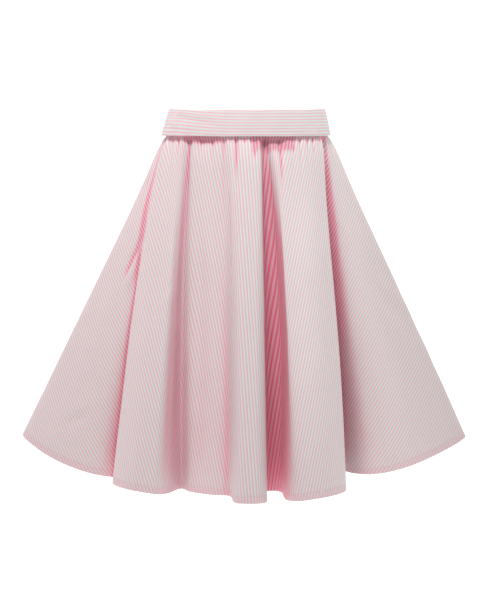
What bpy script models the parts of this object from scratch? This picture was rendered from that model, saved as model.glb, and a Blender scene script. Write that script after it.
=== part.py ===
"""A gathered midi skirt on a shaped waistband, worn and filled out, with nobody in it.

The origin is the centre of the waistband's top edge, +Z is up and the front faces -Y.
Each panel is an open sheet lofted from the seam under the band down to the hem, and
Solidify gives it the wall of the cloth. The hem is a closed curve through the crests
and valleys of the flutes, and every straight line down the cloth has the same length.
"""

import math
from typing import NamedTuple

import bpy
import numpy as np

COLLECTION = "midi_skirt"

BAND_HEIGHT = 0.0475
BAND_WALL = 0.003
BAND_TOP_HALF_WIDTH = 0.1404
BAND_TOP_HALF_DEPTH = 0.100
BAND_FOOT_HALF_WIDTH = 0.151
BAND_FOOT_HALF_DEPTH = 0.108
BAND_SWELL = 0.0008
BACK_DIP = 0.006

SEAM_HALF_WIDTH = 0.1450
SEAM_HALF_DEPTH = 0.1020
CLOTH_LENGTH = 0.623
CLOTH_WALL = 0.0013
HEM_WALL = 0.0024
HEM_DEPTH = 0.012
TUCK = 0.008
GAP = 0.0004

PUFF = 0.0045
PUFF_DEPTH = 0.030
GATHER_START = 0.009

PANEL_COLUMNS = 124
SEAM_WEIGHT = 2.2
FRONT_BAND_COLUMNS = 48
BACK_BAND_COLUMNS = 104
BACK_RUCHES = 26
RUCHE_DEPTH = 0.0008

# How far down the cloth each ring of the loft lies, measured from the band's lower edge.
RINGS = (-TUCK, -0.001, 0.008, 0.020, 0.036, 0.060, 0.100, 0.180, 0.320, 0.470)


class Fold(NamedTuple):
    """One point of the hem, seen from above, and where its line starts at the waist."""

    name: str
    azimuth: float
    across: float
    forward: float


class Gather(NamedTuple):
    """One tuck pressed into the cloth by the gathering thread under the band."""

    azimuth: float
    left_angle: float
    right_angle: float
    depth: float
    reach: float


class Sway(NamedTuple):
    """A fold that leans sideways part of the way down, most at one share of its length."""

    name: str
    azimuth: float
    half_angle: float
    across: float
    peak: float


FLUTES = (
    Fold("left_side_crest", -91, -0.423, 0.004),
    Fold("left_side_face", -89.2, -0.378, 0.062),
    Fold("left_side_face", -88, -0.330, 0.098),
    Fold("left_side_edge", -86.6, -0.280, 0.120),
    Fold("left_side_edge", -85, -0.250, 0.116),
    Fold("left_side_turn", -83.2, -0.224, 0.100),
    Fold("left_hidden_valley", -78, -0.200, 0.080),
    Fold("second_turn", -75.4, -0.211, 0.108),
    Fold("second_edge", -72.8, -0.2375, 0.142),
    Fold("second_edge", -69.4, -0.230, 0.186),
    Fold("second_crest", -63, -0.194, 0.234),
    Fold("second_crest", -56, -0.158, 0.242),
    Fold("second_flank", -50, -0.140, 0.198),
    Fold("second_valley", -43.5, -0.117, 0.139),
    Fold("third_flank", -39, -0.100, 0.162),
    Fold("third_crest", -26, -0.058, 0.182),
    Fold("third_edge", -18, -0.034, 0.184),
    Fold("third_turn", -14.5, -0.027, 0.200),
    Fold("centre_edge", -11.5, -0.024, 0.246),
    Fold("centre_crest", -5, -0.011, 0.290),
    Fold("centre_crest", 3.5, 0.016, 0.292),
    Fold("centre_edge", 9.2, 0.033, 0.256),
    Fold("centre_recess_flank", 10.0, 0.031, 0.196),
    Fold("centre_recess", 10.8, 0.038, 0.146),
    Fold("centre_recess", 13.6, 0.058, 0.152),
    Fold("fifth_flank", 15.2, 0.0635, 0.198),
    Fold("fifth_flank", 17.4, 0.068, 0.236),
    Fold("fifth_crest", 23, 0.086, 0.264),
    Fold("fifth_crest", 37, 0.112, 0.268),
    Fold("fifth_face", 50, 0.146, 0.246),
    Fold("fifth_edge", 61.5, 0.171, 0.200),
    Fold("fifth_turn", 64.5, 0.169, 0.130),
    Fold("right_hidden_valley", 66.5, 0.158, 0.045),
    Fold("right_hidden_valley", 68, 0.172, 0.022),
    Fold("right_side_turn", 70, 0.196, 0.048),
    Fold("right_side_face", 73.5, 0.232, 0.072),
    Fold("right_side_face", 78, 0.280, 0.072),
    Fold("right_side_face", 83, 0.344, 0.046),
    Fold("right_side_crest", 88, 0.413, 0.003),
    Fold("right_side_seam", 92, 0.392, -0.022),
    Fold("right_back_face", 97, 0.345, -0.052),
    Fold("right_back_valley", 104, 0.274, -0.082),
    Fold("seventh_flank", 112, 0.276, -0.142),
    Fold("seventh_crest", 121, 0.272, -0.196),
    Fold("seventh_flank", 129, 0.226, -0.212),
    Fold("seventh_valley", 137, 0.174, -0.172),
    Fold("eighth_flank", 144, 0.164, -0.226),
    Fold("eighth_crest", 152, 0.132, -0.276),
    Fold("eighth_flank", 161, 0.082, -0.262),
    Fold("eighth_valley", 169, 0.048, -0.192),
    Fold("ninth_flank", 177, 0.022, -0.236),
    Fold("ninth_crest", 185, -0.020, -0.282),
    Fold("ninth_flank", 193, -0.066, -0.256),
    Fold("ninth_valley", 201, -0.092, -0.188),
    Fold("tenth_flank", 208, -0.124, -0.226),
    Fold("tenth_crest", 216, -0.166, -0.262),
    Fold("tenth_flank", 224, -0.206, -0.222),
    Fold("tenth_valley", 232, -0.212, -0.160),
    Fold("eleventh_flank", 240, -0.262, -0.182),
    Fold("eleventh_crest", 248, -0.306, -0.158),
    Fold("eleventh_flank", 256, -0.294, -0.098),
    Fold("left_back_valley", 260, -0.276, -0.072),
    Fold("left_back_face", 264, -0.350, -0.052),
    Fold("left_side_seam", 268, -0.402, -0.024),
)

FRONT_GATHERS = (
    Gather(-75.6, 2.6, 2.4, 0.0160, 0.160),
    Gather(-69.6, 2.4, 2.0, -0.0012, 0.120),
    Gather(-66, 1.4, 1.4, 0.0026, 0.040),
    Gather(-63, 1.6, 2.4, 0.0036, 0.045),
    Gather(-55, 2.6, 1.6, 0.0040, 0.040),
    Gather(-43.5, 4.2, 2.2, 0.0085, 0.130),
    Gather(-34, 1.8, 2.2, 0.0030, 0.040),
    Gather(-30, 8.0, 7.0, 0.0060, 0.026),
    Gather(-25, 1.6, 2.2, 0.0034, 0.050),
    Gather(-16.8, 3.0, 3.0, 0.0044, 0.120),
    Gather(-7.6, 1.5, 2.0, 0.0050, 0.080),
    Gather(-2, 1.4, 1.4, 0.0022, 0.035),
    Gather(4.8, 3.2, 2.4, 0.0052, 0.040),
    Gather(11.2, 1.4, 3.6, 0.0110, 0.150),
    Gather(20, 8.0, 8.0, 0.0080, 0.030),
    Gather(23.2, 1.8, 1.6, 0.0056, 0.070),
    Gather(33, 1.4, 2.0, 0.0026, 0.040),
    Gather(39, 2.0, 1.4, 0.0034, 0.050),
    Gather(45.5, 1.4, 1.8, 0.0030, 0.036),
    Gather(52, 2.0, 1.6, 0.0032, 0.040),
    Gather(62.5, 2.6, 1.8, -0.0026, 0.150),
    Gather(66.8, 2.2, 3.6, 0.0160, 0.180),
    Gather(78, 2.2, 2.2, 0.0034, 0.050),
    Gather(85, 2.0, 2.0, 0.0026, 0.040),
)
BACK_GATHERS = 19
BACK_GATHER_HALF_ANGLE = 2.9

SWAYS = (
    Sway("second_edge", -73, 7, -0.0160, 0.32),
    Sway("second_valley", -43.5, 7, -0.0055, 0.42),
    Sway("fifth_flank", 16, 3.6, 0.0130, 0.50),
    Sway("fifth_edge", 63, 5, 0.0060, 0.60),
    Sway("right_side_crest", 88, 6, 0.0024, 0.62),
    Sway("left_side_crest", -91, 5, 0.0006, 0.30),
)


def back_gathers() -> tuple[Gather, ...]:
    """The tucks of the back, which fall at a slightly uneven pitch."""
    found = []
    for number in range(BACK_GATHERS):
        azimuth = 94 + (number + 0.5) * 172 / BACK_GATHERS
        azimuth += 1.6 * math.sin(2.3 * number)
        depth = 0.0034 + 0.0012 * math.sin(1.7 * number + 0.6)
        reach = 0.056 + 0.020 * math.sin(2.9 * number)
        found.append(Gather(azimuth, BACK_GATHER_HALF_ANGLE, BACK_GATHER_HALF_ANGLE, depth, reach))
    return tuple(found)


GATHERS = FRONT_GATHERS + back_gathers()


def closed_curve(knots: np.ndarray, values: np.ndarray, period: float, turn: float, at: np.ndarray) -> np.ndarray:
    """A smooth closed curve through the values; each turn adds `turn` to the value."""
    start = knots - knots[0]
    count = len(start)
    wrapped = np.concatenate([start[-2:] - period, start, start[:3] + period])
    level = np.concatenate([values[-2:] - turn, values, values[:3] + turn])
    step = np.diff(wrapped)
    slope = np.diff(level) / step
    if turn:
        # Harmonic means keep the angle from ever running backwards.
        tangent = np.where(slope[:-1] * slope[1:] > 0, 2 * slope[:-1] * slope[1:] / (slope[:-1] + slope[1:]), 0)
    else:
        tangent = (slope[:-1] * step[1:] + slope[1:] * step[:-1]) / (step[:-1] + step[1:])
    place = np.mod(at, period)
    span = np.clip(np.searchsorted(start, place, side="right") - 1, 0, count - 1)
    left = span + 2
    width = step[left]
    x = (place - wrapped[left]) / width
    value = (
        (1 + 2 * x) * (1 - x) ** 2 * level[left]
        + x * (1 - x) ** 2 * width * tangent[left - 1]
        + x**2 * (3 - 2 * x) * level[left + 1]
        + x**2 * (x - 1) * width * tangent[left]
    )
    return value + turn * np.floor(at / period)


class Hem:
    """The plan of the hem, with the waist azimuth that each of its points hangs from."""

    def __init__(self, folds: tuple[Fold, ...]) -> None:
        across = np.array([fold.across for fold in folds])
        forward = np.array([fold.forward for fold in folds])
        azimuth = np.array([fold.azimuth for fold in folds], float)
        chord = np.hypot(np.diff(across, append=across[0]), np.diff(forward, append=forward[0]))
        self.period = float(np.sqrt(chord).sum())
        self.knots = np.concatenate([[0.0], np.cumsum(np.sqrt(chord))[:-1]])
        self.across = across
        self.forward = forward
        self.azimuth = azimuth
        self.names = [fold.name for fold in folds]

    def plan(self, at: np.ndarray) -> tuple[np.ndarray, np.ndarray]:
        """Positions across and forward, in metres."""
        across = closed_curve(self.knots, self.across, self.period, 0.0, at)
        forward = closed_curve(self.knots, self.forward, self.period, 0.0, at)
        return across, forward

    def waist(self, at: np.ndarray) -> np.ndarray:
        """Azimuth at the waist, in radians, 0 at the centre front."""
        return np.radians(closed_curve(self.knots, self.azimuth, self.period, 360.0, at))

    def columns(self, first: str, last: str, count: int) -> np.ndarray:
        """Curve positions from one named crest to the next, even in hem and seam length."""
        start = self.knots[self.names.index(first)]
        end = self.knots[self.names.index(last)]
        if end <= start:
            end += self.period
        dense = np.linspace(start, end, 4001)
        across, forward = self.plan(dense)
        seam = SEAM_HALF_WIDTH * self.waist(dense)
        steps = np.hypot(np.diff(across), np.diff(forward)) + SEAM_WEIGHT * np.abs(np.diff(seam))
        travelled = np.concatenate([[0.0], np.cumsum(steps)])
        return np.interp(np.linspace(0, travelled[-1], count + 1), travelled, dense)


def waist_dip(azimuth: np.ndarray) -> np.ndarray:
    """How far the waist lies below its front, which grows towards the centre back."""
    return BACK_DIP * np.minimum(np.cos(azimuth), 0.0) ** 2


def gather_offset(azimuth: np.ndarray, distance: float) -> np.ndarray:
    """How far the gathering thread pulls the cloth in (negative) or lets it stand out."""
    if distance <= 0:
        return np.zeros_like(azimuth)
    degrees = np.degrees(azimuth)
    offset = np.zeros_like(degrees)
    for gather in GATHERS:
        away = np.mod(degrees - gather.azimuth + 180, 360) - 180
        half = np.where(away < 0, gather.left_angle, gather.right_angle)
        fade = math.exp(-((distance / gather.reach) ** 1.5))
        offset -= gather.depth * fade * np.exp(-((away / half) ** 2))
    start = min(distance / GATHER_START, 1.0)
    puff = PUFF * (distance / PUFF_DEPTH) * math.exp(1 - distance / PUFF_DEPTH)
    return offset * start + puff


def sway_across(azimuth: np.ndarray, distance: float) -> np.ndarray:
    """How far the folds lean sideways at one distance down the cloth."""
    share = min(max(distance, 0.0) / CLOTH_LENGTH, 1.0)
    degrees = np.degrees(azimuth)
    across = np.zeros_like(degrees)
    for sway in SWAYS:
        away = np.mod(degrees - sway.azimuth + 180, 360) - 180
        level = math.sin(math.pi * share ** (math.log(0.5) / math.log(sway.peak)))
        across += sway.across * level * np.exp(-((away / sway.half_angle) ** 2))
    return across


def cloth_ring(hem: Hem, at: np.ndarray, distance: float) -> np.ndarray:
    """Points of the cloth at one distance down from the band's lower edge."""
    across, forward = hem.plan(at)
    azimuth = hem.waist(at)
    top = np.column_stack([SEAM_HALF_WIDTH * np.sin(azimuth), -SEAM_HALF_DEPTH * np.cos(azimuth)])
    foot = np.column_stack([across, -forward])
    spread = foot - top
    drop = np.sqrt(CLOTH_LENGTH**2 - (spread**2).sum(axis=1))
    share = max(distance, 0.0) / CLOTH_LENGTH
    plan = top + spread * share
    normal = np.column_stack([np.sin(azimuth) / SEAM_HALF_WIDTH, -np.cos(azimuth) / SEAM_HALF_DEPTH])
    normal /= np.linalg.norm(normal, axis=1)[:, None]
    plan = plan + normal * gather_offset(azimuth, distance)[:, None]
    plan[:, 0] += sway_across(azimuth, distance)
    height = -BAND_HEIGHT - drop * share - min(distance, 0.0) - waist_dip(azimuth)
    return np.column_stack([plan, height])


def sheet_mesh(name: str, rows: np.ndarray) -> bpy.types.Mesh:
    """An open grid of quads whose outer side is on the right of a walk along a row."""
    row_count, column_count, _ = rows.shape
    faces = []
    for row in range(row_count - 1):
        for column in range(column_count - 1):
            corner = row * column_count + column
            below = corner + column_count
            faces.append((corner, below, below + 1, corner + 1))
    mesh = bpy.data.meshes.new(name)
    mesh.from_pydata(rows.reshape(-1, 3).tolist(), [], faces)
    mesh.update()
    return mesh


def principled(name: str, colour: tuple[float, float, float], roughness: float) -> bpy.types.Material:
    """A plain cloth finish."""
    material = bpy.data.materials.new(name)
    material.use_nodes = True
    surface = material.node_tree.nodes["Principled BSDF"]
    surface.inputs["Base Color"].default_value = (*colour, 1.0)
    surface.inputs["Roughness"].default_value = roughness
    surface.inputs["Metallic"].default_value = 0.0
    return material


def add_piece(name: str, rows: np.ndarray, material: bpy.types.Material, wall: float, side: float) -> bpy.types.Object:
    """A sheet with a wall: side 0 grows both ways, side -1 grows inward only."""
    mesh = sheet_mesh(name, rows)
    mesh.materials.append(material)
    piece = bpy.data.objects.new(name, mesh)
    bpy.data.collections[COLLECTION].objects.link(piece)
    solid = piece.modifiers.new("cloth_wall", "SOLIDIFY")
    solid.thickness = wall
    solid.offset = side
    solid.use_even_offset = True
    solid.use_quality_normals = True
    mesh.shade_smooth()
    mesh.set_sharp_from_angle(angle=math.radians(50))
    return piece


def add_panel(name: str, hem: Hem, first: str, last: str, material: bpy.types.Material) -> bpy.types.Object:
    """One skirt panel from side seam to side seam, with its hem turned up."""
    at = hem.columns(first, last, PANEL_COLUMNS)
    distances = (*RINGS, CLOTH_LENGTH - HEM_DEPTH - 0.001, CLOTH_LENGTH - HEM_DEPTH, CLOTH_LENGTH)
    rows = np.stack([cloth_ring(hem, at, distance) for distance in distances])
    for edge, inner in ((0, 1), (-1, -2)):
        inward = rows[:, inner] - rows[:, edge]
        inward /= np.linalg.norm(inward, axis=1)[:, None]
        rows[:, edge] += inward * GAP / 2
    panel = add_piece(name, rows, material, HEM_WALL, 0.0)
    thickness = panel.vertex_groups.new(name="turned_hem")
    single = (len(distances) - 2) * len(at)
    thickness.add(list(range(single)), CLOTH_WALL / HEM_WALL, "REPLACE")
    thickness.add(list(range(single, len(distances) * len(at))), 1.0, "REPLACE")
    panel.modifiers["cloth_wall"].vertex_group = thickness.name
    return panel


def band_rows(azimuth: np.ndarray, ruche: np.ndarray) -> np.ndarray:
    """Rings of the waistband's outer face, from its top edge to its lower edge."""
    rows = []
    for share in (0.0, 0.06, 0.35, 0.65, 0.94, 1.0):
        width = BAND_TOP_HALF_WIDTH + (BAND_FOOT_HALF_WIDTH - BAND_TOP_HALF_WIDTH) * share
        depth = BAND_TOP_HALF_DEPTH + (BAND_FOOT_HALF_DEPTH - BAND_TOP_HALF_DEPTH) * share
        edge = share in (0.0, 1.0)
        swell = -0.0009 if edge else BAND_SWELL * math.sin(math.pi * share)
        out = swell + ruche * (0.55 if edge else 1.0)
        height = -BAND_HEIGHT * share - waist_dip(azimuth)
        rows.append(np.column_stack([(width + out) * np.sin(azimuth), -(depth + out) * np.cos(azimuth), height]))
    return np.stack(rows)


def add_bands(material: bpy.types.Material, elastic: bpy.types.Material) -> None:
    """The flat front waistband and the elasticated back waistband."""
    edge = GAP / 2 / BAND_FOOT_HALF_WIDTH
    front = np.radians(np.linspace(-90, 90, FRONT_BAND_COLUMNS + 1))
    front[[0, -1]] += (edge, -edge)
    add_piece("waistband_front", band_rows(front, np.zeros_like(front)), material, BAND_WALL, -1.0)
    back = np.radians(np.linspace(90, 270, BACK_BAND_COLUMNS + 1))
    back[[0, -1]] += (edge, -edge)
    along = np.linspace(0, 1, BACK_BAND_COLUMNS + 1)
    ruche = RUCHE_DEPTH * (1 + np.sin(2 * math.pi * BACK_RUCHES * along + 0.8 * np.sin(14 * along)))
    ruche *= np.minimum(1.0, 14 * np.minimum(along, 1 - along))
    add_piece("waistband_back", band_rows(back, ruche), elastic, BAND_WALL, -1.0)


def main() -> None:
    """Clears the scene and builds the skirt."""
    for old in list(bpy.data.objects):
        bpy.data.objects.remove(old)
    bpy.context.scene.collection.children.link(bpy.data.collections.new(COLLECTION))
    cloth = principled("striped_cotton", (0.80, 0.52, 0.55), 0.9)
    cloth_back = principled("striped_cotton_back", (0.78, 0.50, 0.53), 0.9)
    band = principled("striped_cotton_band", (0.82, 0.50, 0.55), 0.88)
    elastic = principled("striped_cotton_elastic", (0.80, 0.49, 0.54), 0.88)
    hem = Hem(FLUTES)
    add_panel("skirt_front", hem, "left_side_seam", "right_side_seam", cloth)
    add_panel("skirt_back", hem, "right_side_seam", "left_side_seam", cloth_back)
    add_bands(band, elastic)


main()
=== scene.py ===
"""The looks of a gathered midi skirt in fine pink and white striped cotton.

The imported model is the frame. Each panel of cloth follows the lines of its solid at a finer
pitch, with its gathers, soft troughs, drag lines and stitched hem added. The stripes run
straight down the flat cut of the cloth, so they lean wherever the flared panel turns.
"""

import logging
import math
from dataclasses import dataclass, field
from enum import Enum
from typing import NamedTuple

import bmesh
import bpy
import numpy as np
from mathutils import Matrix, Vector
from mathutils.bvhtree import BVHTree

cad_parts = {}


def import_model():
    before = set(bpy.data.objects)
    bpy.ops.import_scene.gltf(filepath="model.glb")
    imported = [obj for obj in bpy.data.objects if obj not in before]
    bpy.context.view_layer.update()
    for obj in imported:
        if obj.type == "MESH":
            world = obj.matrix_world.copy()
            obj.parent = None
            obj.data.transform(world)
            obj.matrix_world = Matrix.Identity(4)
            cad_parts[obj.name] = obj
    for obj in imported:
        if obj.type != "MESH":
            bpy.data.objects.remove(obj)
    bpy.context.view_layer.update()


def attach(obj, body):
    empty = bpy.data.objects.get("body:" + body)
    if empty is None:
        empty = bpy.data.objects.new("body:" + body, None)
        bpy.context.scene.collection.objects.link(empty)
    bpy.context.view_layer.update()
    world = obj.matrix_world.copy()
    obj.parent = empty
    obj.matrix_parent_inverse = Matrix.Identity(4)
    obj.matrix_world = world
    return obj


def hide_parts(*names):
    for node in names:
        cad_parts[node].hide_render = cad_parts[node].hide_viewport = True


LOG = logging.getLogger("midi_skirt")

BAND_HEIGHT = 0.0475
BAND_WALL = 0.003
BAND_TOP_HALF_WIDTH = 0.1404
BAND_TOP_HALF_DEPTH = 0.100
BAND_FOOT_HALF_WIDTH = 0.151
BAND_FOOT_HALF_DEPTH = 0.108
BACK_DIP = 0.006
LEFT_END_FLARE = 0.0034
STRIPE_CLIMB = 0.0075
ELASTIC_LINES = (0.33, 0.67)
FRONT_FOOT_RISE = 0.0026

SEAM_HALF_WIDTH = 0.1450
SEAM_HALF_DEPTH = 0.1020
CLOTH_LENGTH = 0.623
HEM_DEPTH = 0.012
TUCK = 0.008
CLOTH_THICKNESS = 0.0005
HEM_THICKNESS = 0.0012
SEAM_GAP = 0.0002

PUFF = 0.0045
PUFF_DEPTH = 0.030
GATHER_START = 0.007
GATHER_PUCKER = 0.0007
GATHER_PUCKER_FADE = 0.012
HEM_PUCKER = 0.00035
STITCH_DENT = 0.0004
STITCH_INSET = 0.0008
SEAM_DENT = 0.0007
SEAM_DENT_HALF_WIDTH = 0.002

CUT_INNER_RADIUS = 0.220
CUT_HEM_RADIUS = CUT_INNER_RADIUS + CLOTH_LENGTH
STRIPE_PITCH = 0.0053
WEAVE_PITCH = 0.0005
FRONT_GRAIN = 9.6
BACK_GRAIN = 180.0
FLARE = 0.87
SEAM_WEIGHT = 2.2

# How enclosed each point is, found by rays, and how much a sharp inward bend adds: these set the painted
# fold shade.
DEPTH_ROWS = 30
DEPTH_COLUMNS = 210
DEPTH_RAYS = 32
DEPTH_REACH = 0.16
CAVITY = 0.45
SHARP_BEND = 30.0
SOFT_GLOW = 9.0

FLOOR_HEIGHT = -1.02


class Side(Enum):
    """Which half of the skirt a piece belongs to."""

    FRONT = "front"
    BACK = "back"


class Fold(NamedTuple):
    """One point of the hem, seen from above, and where its line starts at the waist."""

    name: str
    azimuth: float
    across: float
    forward: float


class Gather(NamedTuple):
    """One tuck pressed into the cloth by the gathering thread under the band."""

    azimuth: float
    left_angle: float
    right_angle: float
    depth: float
    reach: float


class Sway(NamedTuple):
    """A fold that leans sideways part of the way down, most at one share of its length."""

    name: str
    azimuth: float
    half_angle: float
    across: float
    peak: float


class Trough(NamedTuple):
    """A long soft undulation down the cloth; a positive height stands out."""

    angle: float
    half_angle: float
    height: float
    start: float
    end: float


class Crease(NamedTuple):
    """A short soft ridge or trough between two places on the flat cut."""

    angle: float
    down: float
    end_angle: float
    end_down: float
    half_width: float
    height: float


class PaintedFoldShade(NamedTuple):
    """A place where painted colour stands in for light passing from cloth to cloth: it deepens the cloth's
    colour, or pales it below 0, and its shade darkens it as painted shade.
    """

    azimuth: float
    left_angle: float
    right_angle: float
    start: float
    end: float
    strength: float
    shade: float


class PaintedEdgeShade(NamedTuple):
    """Where a fold lies close to its neighbour, with the colour they pass on and the light they lose, both
    painted: deeper colour, and painted shade, or a painted highlight where the shade is below 0.
    """

    down: float
    angle: float
    half_width: float
    strength: float
    shade: float


class BandMark(NamedTuple):
    """A soft ridge or trough on the band between two azimuths and heights."""

    azimuth: float
    down: float
    end_azimuth: float
    end_down: float
    half_width: float
    height: float


FLUTES = (
    Fold("left_side_crest", -91, -0.423, 0.004),
    Fold("left_side_face", -89.2, -0.378, 0.062),
    Fold("left_side_face", -88, -0.33, 0.098),
    Fold("left_side_edge", -86.6, -0.28, 0.12),
    Fold("left_side_edge", -85, -0.25, 0.116),
    Fold("left_side_turn", -83.2, -0.224, 0.1),
    Fold("left_hidden_valley", -78, -0.2, 0.08),
    Fold("second_turn", -75.4, -0.211, 0.108),
    Fold("second_edge", -72.8, -0.2375, 0.142),
    Fold("second_edge", -69.4, -0.23, 0.186),
    Fold("second_crest", -63, -0.194, 0.234),
    Fold("second_crest", -56, -0.158, 0.242),
    Fold("second_flank", -50, -0.14, 0.198),
    Fold("second_valley", -43.5, -0.117, 0.139),
    Fold("third_flank", -39, -0.1, 0.162),
    Fold("third_crest", -26, -0.058, 0.182),
    Fold("third_edge", -18, -0.034, 0.184),
    Fold("third_turn", -14.5, -0.027, 0.2),
    Fold("centre_edge", -11.5, -0.024, 0.246),
    Fold("centre_crest", -5, -0.011, 0.29),
    Fold("centre_crest", 3.5, 0.016, 0.292),
    Fold("centre_edge", 9.2, 0.033, 0.256),
    Fold("centre_recess_flank", 10, 0.031, 0.196),
    Fold("centre_recess", 10.8, 0.038, 0.146),
    Fold("centre_recess", 13.6, 0.058, 0.152),
    Fold("fifth_flank", 15.2, 0.0635, 0.198),
    Fold("fifth_flank", 17.4, 0.068, 0.236),
    Fold("fifth_crest", 23, 0.086, 0.264),
    Fold("fifth_crest", 37, 0.112, 0.268),
    Fold("fifth_face", 50, 0.146, 0.246),
    Fold("fifth_edge", 61.5, 0.171, 0.2),
    Fold("fifth_turn", 64.5, 0.169, 0.13),
    Fold("right_hidden_valley", 66.5, 0.158, 0.045),
    Fold("right_hidden_valley", 68, 0.172, 0.022),
    Fold("right_side_turn", 70, 0.196, 0.048),
    Fold("right_side_face", 73.5, 0.232, 0.072),
    Fold("right_side_face", 78, 0.28, 0.072),
    Fold("right_side_face", 83, 0.344, 0.046),
    Fold("right_side_crest", 88, 0.413, 0.003),
    Fold("right_side_seam", 92, 0.392, -0.022),
    Fold("right_back_face", 97, 0.345, -0.052),
    Fold("right_back_valley", 104, 0.274, -0.082),
    Fold("seventh_flank", 112, 0.276, -0.142),
    Fold("seventh_crest", 121, 0.272, -0.196),
    Fold("seventh_flank", 129, 0.226, -0.212),
    Fold("seventh_valley", 137, 0.174, -0.172),
    Fold("eighth_flank", 144, 0.164, -0.226),
    Fold("eighth_crest", 152, 0.132, -0.276),
    Fold("eighth_flank", 161, 0.082, -0.262),
    Fold("eighth_valley", 169, 0.048, -0.192),
    Fold("ninth_flank", 177, 0.022, -0.236),
    Fold("ninth_crest", 185, -0.02, -0.282),
    Fold("ninth_flank", 193, -0.066, -0.256),
    Fold("ninth_valley", 201, -0.092, -0.188),
    Fold("tenth_flank", 208, -0.124, -0.226),
    Fold("tenth_crest", 216, -0.166, -0.262),
    Fold("tenth_flank", 224, -0.206, -0.222),
    Fold("tenth_valley", 232, -0.212, -0.16),
    Fold("eleventh_flank", 240, -0.262, -0.182),
    Fold("eleventh_crest", 248, -0.306, -0.158),
    Fold("eleventh_flank", 256, -0.294, -0.098),
    Fold("left_back_valley", 260, -0.276, -0.072),
    Fold("left_back_face", 264, -0.35, -0.052),
    Fold("left_side_seam", 268, -0.402, -0.024),
)

FRONT_GATHERS = (
    Gather(-75.6, 2.6, 2.4, 0.016, 0.16),
    Gather(-69.6, 2.4, 2, -0.0012, 0.12),
    Gather(-66, 1.4, 1.4, 0.0026, 0.04),
    Gather(-63, 1.6, 2.4, 0.0036, 0.045),
    Gather(-55, 2.6, 1.6, 0.004, 0.04),
    Gather(-43.5, 4.2, 2.2, 0.0085, 0.13),
    Gather(-34, 1.8, 2.2, 0.003, 0.04),
    Gather(-30, 8, 7, 0.006, 0.026),
    Gather(-25, 1.6, 2.2, 0.0034, 0.05),
    Gather(-16.8, 3, 3, 0.0044, 0.12),
    Gather(-7.6, 1.5, 2, 0.005, 0.08),
    Gather(-2, 1.4, 1.4, 0.0022, 0.035),
    Gather(4.8, 3.2, 2.4, 0.0052, 0.04),
    Gather(11.2, 1.4, 3.6, 0.011, 0.15),
    Gather(20, 8, 8, 0.008, 0.03),
    Gather(23.2, 1.8, 1.6, 0.0056, 0.07),
    Gather(33, 1.4, 2, 0.0026, 0.04),
    Gather(39, 2, 1.4, 0.0034, 0.05),
    Gather(45.5, 1.4, 1.8, 0.003, 0.036),
    Gather(52, 2, 1.6, 0.0032, 0.04),
    Gather(62.5, 2.6, 1.8, -0.0026, 0.15),
    Gather(66.8, 2.2, 3.6, 0.016, 0.18),
    Gather(78, 2.2, 2.2, 0.0034, 0.05),
    Gather(85, 2, 2, 0.0026, 0.04),
)
BACK_GATHERS = 19
BACK_GATHER_HALF_ANGLE = 2.9

SWAYS = (
    Sway("second_edge", -73, 7, -0.016, 0.32),
    Sway("second_valley", -43.5, 7, -0.0055, 0.42),
    Sway("fifth_flank", 16, 3.6, 0.013, 0.5),
    Sway("fifth_edge", 63, 5, 0.006, 0.6),
    Sway("right_side_crest", 88, 6, 0.0024, 0.62),
    Sway("left_side_crest", -91, 5, 0.0006, 0.3),
)

FRONT_TROUGHS = (
    Trough(-47, 2, -0.003, 0.3, 0.66),
    Trough(-30.5, 1.2, -0.002, 0.1, 0.5),
    Trough(-17.2, 1.1, -0.005, 0.1, 0.66),
    Trough(-10.5, 0.8, -0.0035, 0.05, 0.6),
    Trough(-4.6, 0.6, -0.0022, 0.08, 0.5),
    Trough(16.5, 0.9, -0.0022, 0.06, 0.45),
    Trough(48, 2.4, -0.003, 0.2, 0.6),
)

FRONT_CREASES = (
    Crease(-50.4, 0.188, -52.8, 0.262, 0.006, -0.0045),
    Crease(-49.4, 0.215, -51.6, 0.285, 0.008, 0.003),
    Crease(-55.4, 0.56, -51.8, 0.519, 0.008, -0.003),
    Crease(-54.6, 0.535, -51, 0.495, 0.009, 0.0016),
    Crease(50, 0.3, 55, 0.4, 0.016, -0.002),
)
# Painted colour and painted shade on the front, under the band and in the gathers below it.
PAINTED_FOLD_SHADES = (
    PaintedFoldShade(-87, 4.5, 3.5, 0, 0.42, 0.22, 0),
    PaintedFoldShade(0, 86, 86, -0.01, 0.012, 0.6, 0),
    PaintedFoldShade(-33, 14.5, 13.5, -0.01, 0.016, 0.75, 0.12),
    PaintedFoldShade(19, 15.4, 15.2, -0.01, 0.032, 1, 0.14),
    PaintedFoldShade(-56, 0.9, 0.9, -0.01, 0.03, 0.35, 0),
    PaintedFoldShade(-48, 1, 1, -0.01, 0.045, 0.35, 0.04),
    PaintedFoldShade(-43, 2, 2, -0.01, 0.11, 0.2, 0.04),
    PaintedFoldShade(-16.8, 1.2, 1.2, -0.01, 0.03, 0.25, 0),
    PaintedFoldShade(-7.4, 0.9, 0.9, -0.01, 0.07, 0.4, 0.04),
    PaintedFoldShade(4.8, 1.8, 1.6, -0.01, 0.048, 0.45, 0),
    PaintedFoldShade(22.6, 0.9, 0.9, 0.01, 0.09, 0.45, 0.04),
)
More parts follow.
